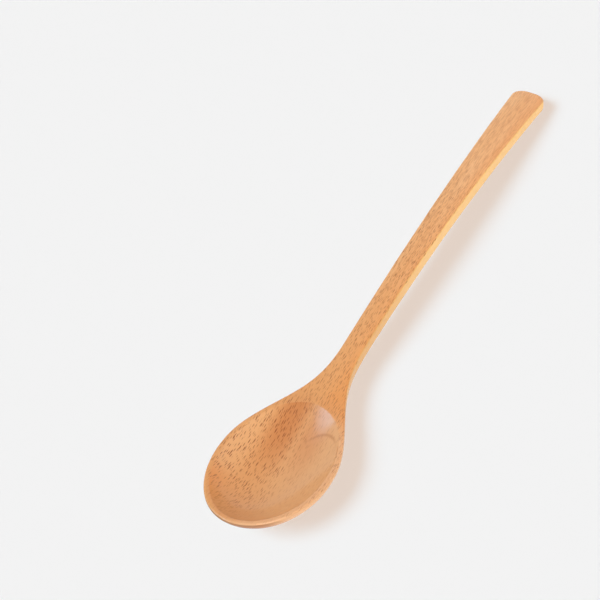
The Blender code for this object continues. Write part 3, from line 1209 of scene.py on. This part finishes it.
    def make(self) -> bpy.types.Object:
        """Carve the spoon as one closed body with its middle over the origin, and oil it.

        Returns:
            The spoon.
        """
        form = self.form
        bm = bmesh.new()
        for name in ("spoke", "mark", "upper"):
            bm.verts.layers.int.new(name)
        bm.verts.layers.float.new("share")
        top_edges = self.make_upper_side(bm)
        self.make_side_wall(bm, top_edges)
        self.make_underside(bm)
        self.close_seam(bm)
        self.make_handle(bm)
        self.merge_end_top(bm)
        bmesh.ops.recalc_face_normals(bm, faces=bm.faces)
        rim = self.narrowest_rim()
        upper_limit = min(self.rim_edge_share * rim, self.wall_edge_share * form.side_wall)
        self.round_edges(bm, Mark.HOLLOW, min(form.hollow_edge_radius, self.hollow_edge_share * rim))
        self.round_edges(bm, Mark.UPPER, min(form.edge_radius, upper_limit))
        self.sand_by_hand(bm)
        self.mark_open_grain(bm)
        bmesh.ops.translate(bm, verts=bm.verts, vec=(0.0, -form.length / 2.0, 0.0))
        mesh = bpy.data.meshes.new("carved_spoon")
        bm.to_mesh(mesh)
        bm.free()
        mesh.shade_smooth()
        mesh.materials.append(self.finish.make())
        return make_object("carved_spoon", mesh)


@dataclass(frozen=True)
class PhotoCamera:
    """The camera of the photograph, level apart from a small roll. Its angles are in degrees."""

    target: Place = (-0.02803, -0.02042, 0.010)
    azimuth: float = 32.71
    elevation: float = 48.37
    roll: float = -5.09
    distance: float = 0.7096
    focal_pixels: float = 1961.7
    sensor_mm: float = 36.0

    def make(self) -> bpy.types.Object:
        """Make the camera and let the scene use it.

        Returns:
            The camera.
        """
        turn, tilt = math.radians(self.azimuth), math.radians(self.elevation)
        back = Vector((math.sin(turn) * math.cos(tilt), -math.cos(turn) * math.cos(tilt), math.sin(tilt)))
        data = bpy.data.cameras.new("photo_camera")
        data.sensor_width = self.sensor_mm
        data.lens = self.focal_pixels * self.sensor_mm / PHOTO_PIXELS
        camera = make_object("photo_camera", data)
        camera.location = Vector(self.target) + back * self.distance
        camera.rotation_mode = "QUATERNION"
        level = (-back).to_track_quat("-Z", "Y")
        camera.rotation_quaternion = level @ Quaternion((0.0, 0.0, 1.0), math.radians(self.roll))
        bpy.context.scene.camera = camera
        return camera


@dataclass(frozen=True)
class SoftLamp:
    """A distant soft lamp, given by the light that it throws on the table.

    Its direction runs from the spoon to the lamp, and its angle is how wide it looks, in degrees.
    """

    name: str
    role: LampRole
    direction: Place
    table_light: Place
    angle: float

    def make(self) -> bpy.types.Object:
        """Make the lamp.

        Returns:
            The lamp.
        """
        towards_lamp = Vector(self.direction).normalized()
        strongest = max(self.table_light)
        data = bpy.data.lights.new(self.name, "SUN")
        data.color = [channel / strongest for channel in self.table_light]
        data.energy = math.pi * strongest / towards_lamp.z
        data.angle = math.radians(self.angle)
        data.use_shadow = self.role is not LampRole.FILL
        lamp = make_object(self.name, data)
        lamp.rotation_mode = "QUATERNION"
        lamp.rotation_quaternion = towards_lamp.to_track_quat("Z", "Y")
        lamp.visible_diffuse = self.role is not LampRole.SHINE
        lamp.visible_glossy = self.role is not LampRole.FILL
        return lamp


@dataclass(frozen=True)
class MattWhitePaint:
    """White paint without any shine, so that the table shows soft shadows and no reflection."""

    colour: str = "#F2F2F2"
    roughness: float = 1.0
    specular: float = 0.0

    def make(self) -> bpy.types.Material:
        """Make the material.

        Returns:
            The material.
        """
        return make_material("matt_white_paint", {
            "Base Color": linear_colour(self.colour),
            "Roughness": self.roughness,
            "Specular IOR Level": self.specular,
        })


@dataclass(frozen=True)
class Studio:
    """A pale table under soft daylight: a cool window at the front left and the warm room round it.

    The lamps and the sky add up to a plain white light on the table.
    """

    paint: MattWhitePaint = MattWhitePaint()
    table_half_width: float = 4.0
    table_gap: float = 0.00002
    lamps: tuple[SoftLamp, ...] = (
        SoftLamp("window_light", LampRole.KEY, (-0.42, -0.61, 0.67), (0.150, 0.285, 0.375), 26.0),
        SoftLamp("wall_light", LampRole.FILL, (0.92, -0.25, 0.25), (0.145, 0.14, 0.135), 60.0),
        SoftLamp("ceiling_light", LampRole.FILL, (-0.45, 0.05, 0.89), (0.450, 0.335, 0.250), 60.0),
        SoftLamp("window_shine", LampRole.SHINE, (-0.65, -0.14, 0.75), (0.12, 0.24, 0.33), 32.0),
        SoftLamp("wall_shine", LampRole.SHINE, (0.85, -0.26, 0.47), (0.22, 0.21, 0.20), 40.0),
    )
    sky_light: Place = (0.25, 0.235, 0.235)

    def make_table(self) -> bpy.types.Object:
        """Make the table's painted top.

        Returns:
            The table.
        """
        bm = bmesh.new()
        bmesh.ops.create_grid(bm, x_segments=1, y_segments=1, size=self.table_half_width)
        bmesh.ops.translate(bm, verts=bm.verts, vec=(0.0, 0.0, -self.table_gap))
        mesh = bpy.data.meshes.new("table")
        bm.to_mesh(mesh)
        bm.free()
        mesh.materials.append(self.paint.make())
        return make_object("table", mesh)

    def make_sky(self) -> None:
        """Light the spoon a little from all round, and show the table's colour behind it."""
        world = bpy.data.worlds.new("room")
        world.use_nodes = True
        bpy.context.scene.world = world
        tree = world.node_tree
        tree.nodes.clear()
        light_path = add_node(tree, "ShaderNodeLightPath")
        camera_or_glossy = add_node(tree, "ShaderNodeMath", {
            0: light_path.outputs["Is Camera Ray"], 1: light_path.outputs["Is Glossy Ray"],
        }, operation="MAXIMUM").outputs[0]
        seen = add_node(tree, "ShaderNodeMath", {
            0: camera_or_glossy, 1: light_path.outputs["Is Transmission Ray"],
        }, operation="MAXIMUM").outputs[0]
        lit, shown = (
            add_node(tree, "ShaderNodeBackground", {"Color": colour, "Strength": 1.0}).outputs[0]
            for colour in ((*self.sky_light, 1.0), linear_colour(self.paint.colour))
        )
        mixed = add_node(tree, "ShaderNodeMixShader", {0: seen, 1: lit, 2: shown}).outputs[0]
        add_node(tree, "ShaderNodeOutputWorld", {"Surface": mixed})

    def make(self) -> bpy.types.Object:
        """Make the lamps, the sky and the table.

        Returns:
            The table.
        """
        for lamp in self.lamps:
            lamp.make()
            LOG.info("lamp %s", lamp.name)
        self.make_sky()
        bpy.context.scene.view_settings.view_transform = "Standard"
        return self.make_table()


def main() -> None:
    """Build the camera, the spoon and the studio, and report each piece."""
    logging.basicConfig(level=logging.INFO, format="%(name)s: %(message)s")
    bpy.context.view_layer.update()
    camera = PhotoCamera().make()
    LOG.info("camera %s at %s", camera.name, tuple(round(value, 3) for value in camera.location))
    low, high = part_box(SPOON_NODE)
    form = SpoonForm(length=high.y - low.y, bowl_width=high.x - low.x)
    spoon = CarvedSpoon(form).make()
    # The wood throws no orange light on the table, because the photographed shadow has none.
    spoon.visible_diffuse = False
    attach(spoon, ROOT_BODY)
    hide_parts(SPOON_NODE)
    LOG.info("piece %s: %d faces", spoon.name, len(spoon.data.polygons))
    table = Studio().make()
    LOG.info("stage %s", table.name)


if __name__ == "__main__":
    main()
